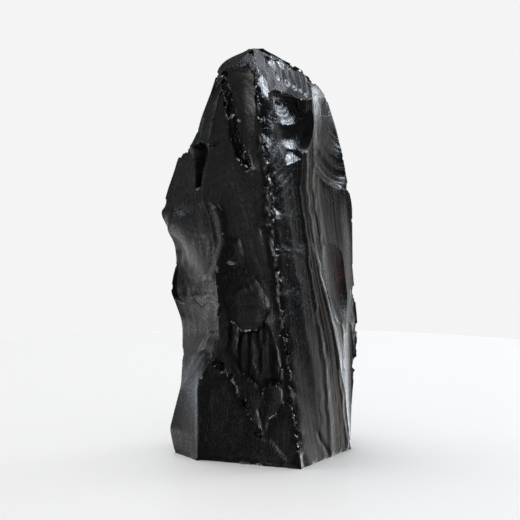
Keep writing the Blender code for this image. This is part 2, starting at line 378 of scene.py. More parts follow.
# the guides that are single raised streaks, with their heights in mm, and their width between guides
MAIN_STREAKS = {3: 0.35, 4: 0.5, 5: 0.4}
MAIN_WIDTH = 0.2
# the arcs beside the crest: middle, left edge, squeeze across, last radius in pixels, height in mm
ARC_CENTRE = (343, 116)
ARC_EDGE = 312
ARC_SQUEEZE = 0.55
ARC_REACH = 73.0
ARC_HEIGHT = 0.18
# centre, first and last radius and spacing in pixels, height in mm
RIPPLES = {
    "upper_body": ((216, 130), 20, 125, 5.5, 0.07),
    "middle_dish": ((262, 262), 10, 75, 7.0, 0.06),
    "shoulder": ((205, 150), 20, 90, 8.0, 0.06),
    "lower_body": ((262, 350), 30, 130, 9.0, 0.04),
}
# where highlights and reflections are painted pale into the glass on the flute, some ridges, the arris strip
# and the rim: width to each side in pixels, amount, line
PAINTED_HIGHLIGHTS = {
    "flute": (7, 1.0, [(165, 224), (174, 233), (184, 245), (192, 258), (199, 272), (202, 290)]),
    "inner_fold": (2.5, 0.9, [(209, 200), (217, 222), (220, 242), (213, 265), (207, 284)]),
    "left_edge": (1.5, 0.8, [(196, 367), (196, 400), (197, 457)]),
    "upper_crossing": (2, 0.6, [(209, 332), (198, 353), (185, 376)]),
    "lower_crossing": (2, 0.6, [(205, 351), (195, 368), (181, 387)]),
    "rim": (3.5, 1.0, [(341, 196), (347, 240), (348, 300), (347, 360), (345, 430)]),
    "arris_strip": (4, 0.3, [(255, 53), (260, 68), (267, 88), (275, 107)]),
    "left_tip": (3, 0.4, [(161, 216), (167, 224), (174, 234)]),
}
# how far noise moves the drawn lines, in pixels
WARP = 1.6
# next to the outline the relief fades in over one twelfth of the face
EDGE_FADE = 12
# how many times shorter the flecks of the left faces are than the streaks elsewhere
FLECKS = {"wing": 4.0, "inner": 10.0}
# depth of the crushed steps in mm, width to each side in pixels, line
CRUSHED = {
    "arris": (1.5, 4.0, [
        (255, 52), (259, 90), (262, 130), (265, 170), (270, 215), (274, 260), (280, 310), (288, 370),
        (302, 466),
    ]),
    "pointed_facet_edge": (1.3, 5.0, [(219, 76), (228, 95), (231, 118), (237, 142), (250, 170)]),
    "lower_ridge": (1.1, 4.5, [(205, 351), (226, 371), (236, 390), (247, 416), (258, 431)]),
    "tongue_foot": (0.5, 3.0, [(226, 285), (236, 292), (247, 288)]),
    "right_edge": (1.2, 3.0, [(353, 292), (357, 320), (357, 345), (354, 372)]),
    "top_right_rim": (0.8, 3.0, [(290, 64), (303, 72), (312, 84)]),
    "low_crest": (0.7, 2.5, [(316, 300), (318, 324), (326, 350)]),
    "foot": (1.0, 2.5, [(200, 462), (250, 464), (303, 468), (330, 458), (352, 448)]),
}


def seen_at(places):
    """Where the camera sees points given in mm, in pixels of the photograph's frame."""
    offset = places * MM - np.array(camera.location)
    focal = LENS / SENSOR * PHOTO_SIZE
    depth = -(offset @ np.array(AWAY))
    across = offset[..., 0]
    up = offset @ np.array([0, math.sin(CAMERA_RISE), math.cos(CAMERA_RISE)])
    return PHOTO_SIZE / 2 + focal * across / depth, PHOTO_SIZE / 2 - focal * up / depth


def beside_stroke(px, py, points):
    """Distance from a stroke in pixels, with its side as the sign, and how far along it that is."""
    best = np.full(px.shape, 1e9)
    side = np.zeros(px.shape)
    along = np.zeros(px.shape)
    for index, ((x0, y0), (x1, y1)) in enumerate(zip(points, points[1:])):
        dx, dy = x1 - x0, y1 - y0
        share = held(((px - x0) * dx + (py - y0) * dy) / (dx * dx + dy * dy))
        gap = np.hypot(px - x0 - share * dx, py - y0 - share * dy)
        nearer = gap < best
        best = np.where(nearer, gap, best)
        side = np.where(nearer, np.sign(dy * (px - x0) - dx * (py - y0)), side)
        along = np.where(nearer, (index + share) / (len(points) - 1), along)
    return best * side, along


def stroke_height(px, py, plus, plus_width, minus, minus_width, points):
    """The stroke's relief in mm: full at the line, fading to each side and towards its two ends."""
    gap, along = beside_stroke(px, py, points)
    fade = held(6 * along) * held(6 * (1 - along))
    high = np.where(gap >= 0, plus, minus)
    width = np.where(gap >= 0, plus_width, minus_width)
    return high * fade * np.exp(-((np.abs(gap) / width) ** 1.5))


def inside(px, py, outline):
    """Which points lie inside a closed outline."""
    within = np.zeros(px.shape, bool)
    for (x0, y0), (x1, y1) in zip(outline, outline[1:] + outline[:1]):
        crosses = (y0 > py) != (y1 > py)
        where = x0 + (py - y0) * (x1 - x0) / ((y1 - y0) or 1e-9)
        within ^= crosses & (px < where)
    return within


def patch_height(px, py, steps, sunk, hollow, tilt, crushed, outline):
    """A patch's relief in mm, none outside its outline and full a little inside it."""
    gap = np.abs(beside_stroke(px, py, outline + outline[:1])[0])
    fade = inside(px, py, outline) * held(gap / PATCH_RIM)
    middle_x, middle_y = np.mean(outline, axis=0)
    leaning = (tilt[0] * (px - middle_x) + tilt[1] * (py - middle_y)) / 10
    bowl = held(gap / PATCH_BOWL)
    return fade * (leaning - sunk - hollow * bowl * (2 - bowl) - crushed * steps)


def ripple_height(px, py, centre, first, last, spacing, height):
    """Rings round a struck point, uneven in spacing and faded at both radii."""
    distance = np.hypot(px - centre[0], py - centre[1])
    bearing = np.arctan2(py - centre[1], px - centre[0]) + 4
    uneven = 1.5 * soft_noise(bearing * 3, distance / 14, 81)
    fade = held((distance - first) / 8) * held((last - distance) / 20)
    patchy = soft_noise(bearing * 4, distance / 25, 82)
    return height * fade * patchy * np.sin(2 * math.pi * (distance / spacing + uneven))


def eased_guide(guide, rows):
    """The guide's x at every row, with its corners rounded off."""
    padded = np.pad(np.interp(rows, GUIDE_ROWS, guide), GUIDE_EASE, mode="reflect", reflect_type="odd")
    window = 2 * GUIDE_EASE + 1
    return np.convolve(padded, np.ones(window) / window, "valid")


def flow_place(px, py):
    """How many guides a point lies past, and how far apart its two guides are."""
    rows = np.arange(GUIDE_ROWS[0], GUIDE_ROWS[-1] + 1)
    edges = [np.interp(py, rows, eased_guide(guide, rows)) for guide in GUIDES]
    place, gap = np.zeros(px.shape), np.full(px.shape, 10.0)
    for left, right in zip(edges, edges[1:]):
        place += held((px - left) / (right - left))
        gap = np.where((px >= left) & (px < right), right - left, gap)
    return place, gap


def flow_height(px, py):
    """The streaks of the right face, which bunch and spread with their guides."""
    place, gap = flow_place(px, py)
    waves = ((0.5, 160, 0.45, 0), (0.25, 110, 0.35, 1), (0.14, 70, 0.2, 2))
    streaks = ridged(place, py, waves, 90, 20)
    calm = held(place - CALM_GUIDE) * held((CALM_ROW - py) / 30)
    patchy = 0.4 + 1.2 * soft_noise(place + 30, py / 40, 97)
    patchy *= 0.25 + 0.75 * held(place - 2)
    total = FLOW_HEIGHT * np.minimum(gap / FLOW_GAP, 1.2) * streaks * patchy * (1 - 0.7 * calm)
    started = held((py - FLOW_TOP) / 20)
    for number, height in MAIN_STREAKS.items():
        total += height * np.exp(-(((place - number) / MAIN_WIDTH) ** 2)) * started
    return total * (place > 0)


def arc_place(px, py):
    """Distance and bearing from the middle of the arcs in the dish beside the crest."""
    distance = np.hypot((px - ARC_CENTRE[0]) / ARC_SQUEEZE, py - ARC_CENTRE[1])
    return distance, np.arctan2(py - ARC_CENTRE[1], px - ARC_CENTRE[0]) + 4


def arc_height(px, py):
    """The arcs of that dish, which leave the crest downwards and swing out to the edge."""
    distance, bearing = arc_place(px, py)
    waves = ridged(distance, bearing, ((6, 3, 0.45, 0), (3.5, 2, 0.35, 1), (2, 1.5, 0.2, 2)), 95, 20)
    fade = held((px - ARC_EDGE) / 5) * held((ARC_REACH - distance) / 5)
    return ARC_HEIGHT * waves * fade * held((py - FLOW_TOP) / 20)


def notch_at(px, py):
    """Full along the bottom of the notch and nothing at its sides."""
    gap, along = beside_stroke(px, py, NOTCH)
    width = NOTCH_WIDTHS[0] + (NOTCH_WIDTHS[1] - NOTCH_WIDTHS[0]) * along
    return held(1 - np.abs(gap) / width)


def painted_shade_at(px, py):
    """How much shade is painted into the glass in the notch, in the streaks under the middle dish and on the
    left facet.
    """
    streaks = held(2.5 * soft_noise(px / 3, py / 30, 83) - 0.6)
    streaks = PAINTED_SHADE_STREAKS * streaks * inside(px, py, PATCHES["black_zone"][-1])
    outline = PATCHES["left_facet"][-1]
    depth = held(np.abs(beside_stroke(px, py, outline + outline[:1])[0]) / 4)
    facet = PAINTED_SHADE_FACET * depth * inside(px, py, outline)
    return np.maximum(notch_at(px, py), np.maximum(streaks, facet))


def front_relief(places, steps):
    """Strokes, patches, crushed lines and the notch together, for points in rows and columns."""
    px, py = seen_at(places)
    px = px + WARP * (2 * soft_noise(px / 11 + 50, py / 11 + 50, 71) - 1)
    py = py + WARP * (2 * soft_noise(px / 11 + 50, py / 11 + 50, 72) - 1)
    relief = np.zeros(px.shape)
    for stroke in STROKES.values():
        relief += stroke_height(px, py, *stroke)
    for patch in PATCHES.values():
        relief += patch_height(px, py, steps, *patch)
    for ripple in RIPPLES.values():
        relief += ripple_height(px, py, *ripple)
    right = np.isin(FACE_NAMES, ("arris", "crest"))
    relief += (flow_height(px, py) + arc_height(px, py)) * right[None, :]
    for depth, width, points in CRUSHED.values():
        gap, along = beside_stroke(px, py, points)
        relief -= depth * steps * np.exp(-((gap / width) ** 2))
    relief -= NOTCH_DEPTH * notch_at(px, py)
    front = np.isin(FACE_NAMES, FRONT_FACES)
    edge_fade = np.where(FACE_NAMES == "wing", held(FACE_SHARES * EDGE_FADE), 1.0)
    edge_fade = np.where(FACE_NAMES == "crest", held((1 - FACE_SHARES) * EDGE_FADE), edge_fade)
    return relief * (front * edge_fade)[None, :]


def painted_highlight_at(px, py):
    """How strongly a pale highlight is painted at a place, between 0 and 1."""
    amount = np.zeros(px.shape)
    for width, strength, points in PAINTED_HIGHLIGHTS.values():
        gap, along = beside_stroke(px, py, points)
        fade = held(5 * along) * held(5 * (1 - along))
        amount = np.maximum(amount, strength * fade * np.exp(-((gap / width) ** 2)))
    return amount


def relief_of(places):
    """Streaks all round, and the marks of the front, in mm along the outward direction."""
    spacing = np.linalg.norm(np.diff(places[LEVELS // 2], axis=0), axis=1)
    across = np.concatenate([[0], np.cumsum(spacing)])[None, :] + 0 * places[..., 2]
    height = np.array([FACES[name][2] for name in FACE_NAMES])
    blend = held(8 * FACE_SHARES) * held(8 * (1 - FACE_SHARES))
    streaks = streaks_at(across, places[..., 2], 40)
    steps = terraces_at(across, places[..., 2], 60)
    return streaks * (height * (0.1 + 0.9 * blend))[None, :] + front_relief(places, steps)


def outward_directions(places):
    """Level directions that point out of the sheet, from each column's neighbours."""
    around = np.roll(places[:, :-1], -1, axis=1) - np.roll(places[:, :-1], 1, axis=1)
    outward = np.dstack([around[..., 1], -around[..., 0], np.zeros(around.shape[:2])])
    outward /= np.linalg.norm(outward, axis=2)[..., None]
    return np.concatenate([outward, outward[:, :1]], axis=1)


print(len(STROKES), "strokes,", len(PATCHES), "patches")

# %% [markdown]
# The blank is a grid primitive whose points are moved on to the ridge lines. In edit mode its seam is
# merged and its two open ends are filled, which leaves one closed body that a Boolean can cut.

# %% Wrap the blank
# the flow map's width round the blank, and its steps for each guide, each pixel of an arc and each radian
MAP_WIDTH = 0.25
FLOW_STEP = 0.008
ARC_STEP = 0.0004
BEARING_STEP = 0.03


def deselect_all():
    """Nothing stays selected, so an operator acts only on what comes next."""
    if bpy.context.mode != "OBJECT":
        bpy.ops.object.mode_set(mode="OBJECT")
    bpy.ops.object.select_all(action="DESELECT")


def make_active(obj):
    deselect_all()
    obj.select_set(True)
    bpy.context.view_layer.objects.active = obj


def read_all(items, name, width=1, kind=float):
    """One property of many mesh elements as an array, in rows where it has a width."""
    values = np.empty(len(items) * width, kind)
    items.foreach_get(name, values)
    return values.reshape(-1, width) if width > 1 else values


def points_of(obj):
    return read_all(obj.data.vertices, "co", 3)


def move_points(obj, points):
    obj.data.vertices.foreach_set("co", np.asarray(points, np.float32).ravel())
    obj.data.update()


def grid_at(name, across, up):
    """A one metre grid primitive with this many strips each way, and its points as rows of x and y."""
    deselect_all()
    bpy.ops.mesh.primitive_grid_add(x_subdivisions=across, y_subdivisions=up, size=1)
    grid = bpy.context.active_object
    grid.name = name
    grid.data.name = name
    grid.data.uv_layers[0].name = "flow"
    return grid, points_of(grid)


def set_map(obj, name, across, along):
    """Writes one of the two UV maps, from one value of each kind for every point."""
    layer = obj.data.uv_layers.get(name) or obj.data.uv_layers.new(name=name)
    pairs = np.column_stack([across, along])[read_all(obj.data.loops, "vertex_index", kind=np.int32)]
    layer.data.foreach_set("uv", pairs.astype(np.float32).ravel())


def map_blank(blank, column, places, px, py):
    """Lets the flow map follow the streaks, guides and arcs, and writes where highlights and shade are
    painted.
    """
    names = FACE_NAMES[column]
    across, along = column / COLUMNS * MAP_WIDTH, places[:, 2].copy()
    for name, share in FLECKS.items():
        along = np.where(names == name, along * share, along)
    right = np.isin(names, ("arris", "crest"))
    across = np.where(right, flow_place(px, py)[0] * FLOW_STEP, across)
    distance, bearing = arc_place(px, py)
    arcs = right & (px > ARC_EDGE + 2) & (py > FLOW_TOP) & (distance < ARC_REACH)
    across = np.where(arcs, distance * ARC_STEP, across)
    along = np.where(arcs, bearing * BEARING_STEP, along)
    set_map(blank, "flow", across, along)
    front = np.isin(names, FRONT_FACES)
    # painted light: pale painted highlights in the first channel, painted shade in the second
    set_map(blank, "frost", painted_highlight_at(px, py) * front, painted_shade_at(px, py) * front)


def close_blank(blank):
    """Merges the seam and fills the two open ends."""
    make_active(blank)
    bpy.ops.object.mode_set(mode="EDIT")
    bpy.ops.mesh.select_all(action="SELECT")
    bpy.ops.mesh.remove_doubles(threshold=0.00001)
    bpy.ops.mesh.select_all(action="DESELECT")
    bpy.ops.mesh.select_non_manifold()
    bpy.ops.mesh.fill_holes(sides=0)
    bpy.ops.object.mode_set(mode="OBJECT")


def make_blank():
    """The stone before any flake is struck from its back and its right side."""
    blank, square = grid_at("blank", COLUMNS, LEVELS)
    wrapped = wrapped_points()
    relief = relief_of(wrapped)
    relief[:, -1] = relief[:, 0]
    wrapped += outward_directions(wrapped) * relief[..., None]
    column = np.rint((square[:, 0] + 0.5) * COLUMNS).astype(int)
    level = np.rint((square[:, 1] + 0.5) * LEVELS).astype(int)
    places = wrapped[level, column] * MM
    move_points(blank, places)
    map_blank(blank, column, places, *seen_at(wrapped[level, column]))
    close_blank(blank)
    return blank


block = make_blank()
print("blank has", len(block.data.polygons), "faces")

# %% [markdown]
# A flake that is struck off leaves a shallow dish. Rings spread in it from the point that was struck,
# and fine hackle lines fan out from the same point. Each dish is a cutter: a grid bent to the dish,
# pulled out to a flat lid in edit mode, and taken from the block with a Boolean.

# %% Flake scars
# centre (x, y, z), faces (azimuth, elevation), lean, half width, half height, depth, ripple height
SCARS = {
    "right_scoop": ((13.5, -4.5, 163), (40, -4), -16, 11, 12, 2.2, 0.12),
    "bright_scoop": ((11.6, -2.8, 165), (40, 25), -20, 6.0, 11.0, 1.1, 0.24),
    "right_lower_dish": ((36, 9, 101), (52, 0), -12, 12, 28, 2.0, 0.03),
    "right_strip": ((43, 12, 50), (68, 0), -4, 8, 50, 1.4, 0.03),
    "back_top": ((-3, 17.6, 190), (182, 48), 14, 11, 8, 1.2, 0.06),
    "back_upper": ((4, 36, 140), (176, 8), 6, 26, 42, 5.0, 0.15),
    "back_lower": ((-6, 35, 62), (186, -3), -8, 28, 44, 4.0, 0.15),
    "back_right_upper": ((32.3, 29.9, 140), (144, 6), 10, 12, 38, 2.5, 0.10),
    "back_right_lower": ((37.2, 30.0, 58), (139, -2), -6, 12, 42, 2.5, 0.10),
    "back_left_upper": ((-25.2, 17.6, 150), (232, 10), -6, 12, 32, 3.0, 0.12),
    "back_left_lower": ((-33, 18.2, 72), (236, 0), 6, 12, 40, 3.0, 0.12),
    "back_left_foot": ((-33, 17.2, 18), (236, -8), 0, 11, 18, 2.5, 0.10),
}
# grid steps of a cutter in front and at the back, in mm
FINE_STEP = 0.75
COARSE_STEP = 1.5
# how far a cutter's grid reaches past the dish, out of 1, and its lid stands above it, in mm
SCAR_REACH = 1.35
SCAR_LID = 40.0
# where the flake was struck, in half widths and half heights of the dish
STRUCK = (0.3, 1.1)
RIM_POWER = 1.5
RIM_WAVE = 0.08
RING_SPACING = 5.0
BACK_MAP_START = 0.12


def scar_axes(azimuth, elevation, lean):
    """The scar's own right, up and outward directions."""
    turn, rise, roll = math.radians(azimuth), math.radians(elevation), math.radians(lean)
    outward = Vector((math.sin(turn) * math.cos(rise), -math.cos(turn) * math.cos(rise), math.sin(rise)))
    up = (Vector((0, 0, 1)) - outward * outward.z).normalized()
    right = up.cross(outward)
    leaned_right = right * math.cos(roll) - up * math.sin(roll)
    leaned_up = up * math.cos(roll) + right * math.sin(roll)
    return np.array(leaned_right), np.array(leaned_up), np.array(outward)


def dish_surface(across, along, half_width, half_height, depth, ripple, seed):
    """Heights of the dish, and the distance and bearing of each point from where the flake was struck."""
    angle = np.arctan2(along, across)
    wave = 1 + RIM_WAVE * np.sin(3 * angle + half_width) + RIM_WAVE * np.sin(2 * angle + half_height)
    dish = depth * (((across**2 + along**2) * wave) ** RIM_POWER - 1)
    from_side = across * half_width - STRUCK[0] * half_width
    from_top = along * half_height - STRUCK[1] * half_height
    distance, bearing = np.hypot(from_side, from_top), np.arctan2(from_side, -from_top)
    patchy = soft_noise(bearing * 2 + 5, distance / 15, seed)
    uneven = soft_noise(bearing * 3 + 5, distance / 12, seed + 1)
    ring = np.sin(2 * math.pi * (distance / RING_SPACING + uneven))
    hackle = streaks_at(bearing * 40, distance, seed + 2)
    return dish + ripple * patchy * ring + 0.5 * ripple * hackle, distance, bearing


def make_scar(name, seed):
    """A cutter with a dished underside and a flat lid."""
    centre, facing, lean, half_width, half_height, depth, ripple = SCARS[name]
    right, up, outward = scar_axes(*facing, lean)
    step = COARSE_STEP if name.startswith("back") else FINE_STEP
    across_strips = round(2 * SCAR_REACH * half_width / step)
    up_strips = round(2 * SCAR_REACH * half_height / step)
    cutter, square = grid_at("scar_" + name, across_strips, up_strips)
    across, along = 2 * SCAR_REACH * square[:, 0], 2 * SCAR_REACH * square[:, 1]
    dish, distance, bearing = dish_surface(across, along, half_width, half_height, depth, ripple, seed)
    middle = np.array(centre) - BOX_CENTRE
    places = middle + np.outer(across * half_width, right) + np.outer(along * half_height, up)
    move_points(cutter, (places + np.outer(dish, outward)) * MM)
    if name.startswith("back"):
        set_map(cutter, "flow", BACK_MAP_START + across * half_width * MM, along * half_height * MM * 3)
    else:
        set_map(cutter, "flow", bearing * BEARING_STEP, distance * MM)
    make_active(cutter)
    bpy.ops.object.mode_set(mode="EDIT")
    bpy.ops.mesh.select_all(action="SELECT")
    bpy.ops.mesh.extrude_region_move()
    bpy.ops.object.mode_set(mode="OBJECT")
    flatten_lid(cutter, len(square), middle * MM, outward)
    return cutter


def flatten_lid(cutter, below, centre, outward):
    """Lifts the pulled-out copy of the grid on to a flat plane over the dish."""
    points = points_of(cutter)
    lid = points[below:]
    lid += np.outer(SCAR_LID * MM - (lid - centre) @ outward, outward)
    move_points(cutter, points)


def cut(target, cutter):
    """Takes the cutter from the target and deletes the cutter."""
    make_active(target)
    boolean = target.modifiers.new("cut", "BOOLEAN")
    boolean.operation = "DIFFERENCE"
    boolean.solver = "MANIFOLD"
    boolean.object = cutter
    bpy.ops.object.modifier_apply(modifier=boolean.name)
    bpy.data.objects.remove(cutter, do_unlink=True)


for seed, scar in enumerate(SCARS):
    cut(block, make_scar(scar, 100 + 10 * seed))
print("after the scars:", len(block.data.polygons), "faces")

# %% [markdown]
# Sharp edges of glass don't last: they crush, and small chips come away from both sides. The chips could
# be painted, but they change the outline and catch the light, so they are cut. Each place on a sharp edge
# gets a number from its own position, so every run cuts the same chips, most of them where the photograph
# shows a crushed edge. Each pass of chips is one cutter.

# %% Crushed edges
# chip radius in mm, gap between chips in mm, share of the places used away from the crushed edges
CHIP_PASSES = [(3.6, 14.0, 0.002), (2.4, 8.0, 0.004), (1.6, 5.0, 0.006), (1.2, 3.5, 0.008)]
SHARP = math.radians(35)
CRUSH_REACH = 5.0
CHIP_SEED = 2
# edges that face away from the camera more than this get this many times the share
BACK_FACING = -0.35
BACK_SHARE = 12
# a crushed edge gets chips where it faces the camera by more than this
FRONT_FACING = -0.2
# no chip in front starts lower than this, in mm, so the foot stays flat
FOOT_CLEAR = 2.5
# the sense in which every edge is read, and the numbers that turn a position into dice
EDGE_SENSE = np.array([0.31, 0.17, 0.94])
DICE_GRID = 50
DICE_MIX = np.array([12.99, 78.23, 37.72])
# a chip's size, lean, length, thickness, stand-off from the edge and roughness, as shares
CHIP_SIZE = (0.45, 1.0)
CHIP_LEAN = (-0.8, 0.8)
CHIP_LENGTH = (0.9, 1.5)
CHIP_FLATNESS = 0.6
CHIP_LIFT = (0.05, 0.4)
CHIP_ROUGHNESS = (0.78, 1.12)


def edge_facts(mesh):
    """Middle, direction and outward direction of every sharp convex edge, as rows."""
    loops = read_all(mesh.loops, "edge_index", kind=np.int32)
    starts = read_all(mesh.polygons, "loop_start", kind=np.int32)
    owner = np.searchsorted(starts, np.arange(len(loops)), side="right") - 1
    order = np.argsort(loops, kind="stable")
    first, second = owner[order[::2]], owner[order[1::2]]
    normals, centres = read_all(mesh.polygons, "normal", 3), read_all(mesh.polygons, "center", 3)
    points = read_all(mesh.vertices, "co", 3)[read_all(mesh.edges, "vertices", 2, np.int32)]
    one, two = normals[first], normals[second]
    bend = np.arccos(np.clip((one * two).sum(axis=1), -1, 1))
    convex = ((centres[second] - centres[first]) * one).sum(axis=1) < 0
    sharp = convex & (bend > SHARP)
    edge = loops[order[::2]][sharp]
    outward = one[sharp] + two[sharp]
    outward /= np.linalg.norm(outward, axis=1)[:, None]
    along = points[edge, 1] - points[edge, 0]
    along *= np.where(along @ EDGE_SENSE < 0, -1, 1)[:, None]
    length = np.linalg.norm(along, axis=1)
    kept = length > 1e-6
    return points[edge].mean(axis=1)[kept], (along / length[:, None])[kept], outward[kept]


def near_crushed(middles):
    """Whether each place is seen from the front within reach of a crushed edge."""
    px, py = seen_at(middles / MM)
    near = np.zeros(len(px), bool)
    for depth, width, points in CRUSHED.values():
        near |= np.abs(beside_stroke(px, py, points)[0]) < CRUSH_REACH
    return near


def dice_at(places, seed):
    """A number between 0 and 1 for each place, which depends on the place and the seed alone."""
    spots = np.round(places / MM * DICE_GRID) @ DICE_MIX
    return np.modf(np.abs(np.sin(spots + seed)) * 43758.5)[0]


def chip_places(gap, share, seed):
    """A seeded choice of sharp places that stand at least a gap apart."""
    middles, along, outward = edge_facts(block.data)
    towards = outward @ np.array(AWAY)
    likely = np.where(towards < BACK_FACING, BACK_SHARE * share, share)
    wanted = (near_crushed(middles) & (towards > FRONT_FACING)) | (dice_at(middles, seed) < likely)
    wanted &= (towards < BACK_FACING) | (middles[:, 2] > FOOT_CLEAR * MM)
    found = np.flatnonzero(wanted)
    chosen = []
    for index in found[np.argsort(dice_at(middles[found], seed + 1))]:
        if not chosen or np.linalg.norm(middles[chosen] - middles[index], axis=1).min() > gap * MM:
            chosen.append(index)
    return middles[chosen], along[chosen], outward[chosen]


def make_chips(radius, places, chance):
    """One cutter of many flattened balls, each sunk a little into its edge."""
    deselect_all()
    bpy.ops.mesh.primitive_ico_sphere_add(subdivisions=2, radius=1)
    ball = bpy.context.active_object
    shape = points_of(ball)
    faces = np.array([polygon.vertices[:] for polygon in ball.data.polygons])
    bpy.data.objects.remove(ball, do_unlink=True)
    points, polygons = [], []
    for middle, along, outward in zip(*places):
        size = radius * MM * chance.uniform(*CHIP_SIZE)
        facing = outward + np.cross(outward, along) * chance.uniform(*CHIP_LEAN)
        facing /= np.linalg.norm(facing)
        long_way = along - facing * (along @ facing)
        long_way /= np.linalg.norm(long_way)
        length = chance.uniform(*CHIP_LENGTH)
        axes = np.array([long_way * length, np.cross(facing, long_way), facing * CHIP_FLATNESS])
        centre = middle + facing * size * chance.uniform(*CHIP_LIFT)
        rough = shape * chance.uniform(*CHIP_ROUGHNESS, (len(shape), 1))
        polygons.append(faces + len(points) * len(shape))
        points.append(centre + rough @ axes * size)
    mesh = bpy.data.meshes.new("chips")
    mesh.from_pydata(np.concatenate(points), [], np.concatenate(polygons).tolist())
    chips = bpy.data.objects.new("chips", mesh)
    bpy.context.scene.collection.objects.link(chips)
    return chips


chance = np.random.default_rng(7)
for number, (radius, gap, share) in enumerate(CHIP_PASSES):
    places = chip_places(gap, share, CHIP_SEED + 10 * number)
    cut(block, make_chips(radius, places, chance))
    print(len(places[0]), "chips of up to", radius, "mm;", len(block.data.polygons), "faces")

# %% [markdown]
# Obsidian is black glass. It needs a very dark base colour, the glass's own reflection and a polish that
# is broken by hackle lines. The lines follow the UV map, so they run with the break. Where the lines are
# dense the glass looks frosted, and low on the right side a little of it is red-brown.
# Highlights and reflections are painted pale into the base colour on the flute, some ridges and the right
# rim, and shade is painted into the notch, some streaks and the left facet by turning the reflection down.

# %% Obsidian material
BLACK = (0.003, 0.003, 0.0035, 1)
FROST = (0.038, 0.039, 0.041, 1)
# painted highlight: the pale colour laid where highlights and reflections are painted
PAINTED_HIGHLIGHT_COLOUR = (0.13, 0.13, 0.135, 1)
BAND = (0.085, 0.080, 0.072, 1)
BROWN = (0.030, 0.008, 0.006, 1)
# where across the flow map the satin wing and the pale bands start and end, each over a short stretch
SATIN_START = (0.160, 0.164)
SATIN_END = (0.190, 0.200)
BAND_START = (0.021, 0.026)
BAND_END = (0.046, 0.052)
# roughness that the satin wing has on top of the polish
SATIN = 0.20
# the red-brown patch, in metres
BROWN_PLACE = (0.0373, 0.010, 0.088)
BROWN_REACH = (0.0045, 0.02, 0.010)
# streaks for each metre of the flow map across and along it
LINE_SCALE = (1400, 22, 1)
BAND_SCALE = (600, 5, 1)


def fill_inputs(tree, node, inputs):
    """Links each input to the socket given for it, or sets it to the value."""
    for name, value in inputs.items():
        if isinstance(value, bpy.types.NodeSocket):
            tree.links.new(value, node.inputs[name])
        else:
            node.inputs[name].default_value = value


def node_of(tree, kind, inputs, **settings):
    """A new shader node with its settings and inputs."""
    node = tree.nodes.new("ShaderNode" + kind)
    for name, setting in settings.items():
        setattr(node, name, setting)
    fill_inputs(tree, node, inputs)
    return node


def noise_at(tree, vector, scale, detail):
    inputs = {"Scale": scale, "Detail": detail, "Vector": vector}
    return node_of(tree, "TexNoise", inputs).outputs["Fac"]


def between(tree, value, low, high, first, last):
    """Turns a value's range into another one, held at its ends."""
    inputs = {"Value": value, "From Min": low, "From Max": high, "To Min": first, "To Max": last}
    return node_of(tree, "MapRange", inputs).outputs["Result"]


def product(tree, one, two):
    return node_of(tree, "Math", {0: one, 1: two}, operation="MULTIPLY").outputs["Value"]


def total_of(tree, values):
    """The sum of several values."""
    total = values[0]
    for value in values[1:]:
        total = node_of(tree, "Math", {0: total, 1: value}, operation="ADD").outputs["Value"]
    return total


def stretched(tree, vector, scale):
    return node_of(tree, "Mapping", {"Scale": scale, "Vector": vector}).outputs["Vector"]


def tinted(tree, amount, base, tint):
    """A colour, mixed by some amount into the colour that comes before it."""
    return node_of(tree, "Mix", {"Factor": amount, "A": base, "B": tint}, data_type="RGBA").outputs["Result"]


def map_of(tree, name):
    return node_of(tree, "UVMap", {}, uv_map=name).outputs["UV"]


def parts_of(tree, vector):
    return node_of(tree, "SeparateXYZ", {"Vector": vector}).outputs


def brown_amount(tree, place):
    """Full at one place low on the right side, nothing a few centimetres off, and broken up by noise."""
    middle = node_of(tree, "VectorMath", {0: place, 1: BROWN_PLACE}, operation="SUBTRACT").outputs["Vector"]
    squeezed = stretched(tree, middle, tuple(1 / reach for reach in BROWN_REACH))
    distance = node_of(tree, "VectorMath", {0: squeezed}, operation="LENGTH").outputs["Value"]
    near = between(tree, distance, 0.6, 1.4, 1, 0)
    broken = between(tree, noise_at(tree, place, 120, 2), 0.45, 0.6, 0, 1)
    return product(tree, near, broken)


def band_amount(tree, flow, across):
    """The pale flow bands of the right face, which run between two of its guides."""
    started = between(tree, across, *BAND_START, 0, 1)
    ended = between(tree, across, *BAND_END, 1, 0)
    shown = between(tree, noise_at(tree, stretched(tree, flow, BAND_SCALE), 1, 2), 0.50, 0.62, 0, 1)
    return product(tree, product(tree, started, ended), shown)


def frost_amount(tree, place, lines, painted_shade):
    """The frosted hackle lines, in patches, and fewer where shade is painted."""
    shown = between(tree, lines, 0.54, 0.76, 0, 1)
    patches = between(tree, noise_at(tree, place, 60, 2), 0.40, 0.65, 0.15, 1)
    return product(tree, product(tree, shown, patches), between(tree, painted_shade, 0, 0.2, 1, 0))


def roughness(tree, speckle, across):
    """A fine broken polish, with a satin wing."""
    polish = between(tree, speckle, 0.35, 0.70, 0.05, 0.30)
    started = between(tree, across, *SATIN_START, 0, SATIN)
    return total_of(tree, [polish, product(tree, started, between(tree, across, *SATIN_END, 1, 0.15))])


def bumps(tree, lines, speckle):
    """Hackle lines too fine for the mesh, and pits on them."""
    streaked = node_of(tree, "Bump", {"Strength": 0.4, "Distance": 0.0003, "Height": lines}).outputs["Normal"]
    pitted = {"Strength": 0.5, "Distance": 0.00015, "Height": speckle, "Normal": streaked}
    return node_of(tree, "Bump", pitted).outputs["Normal"]


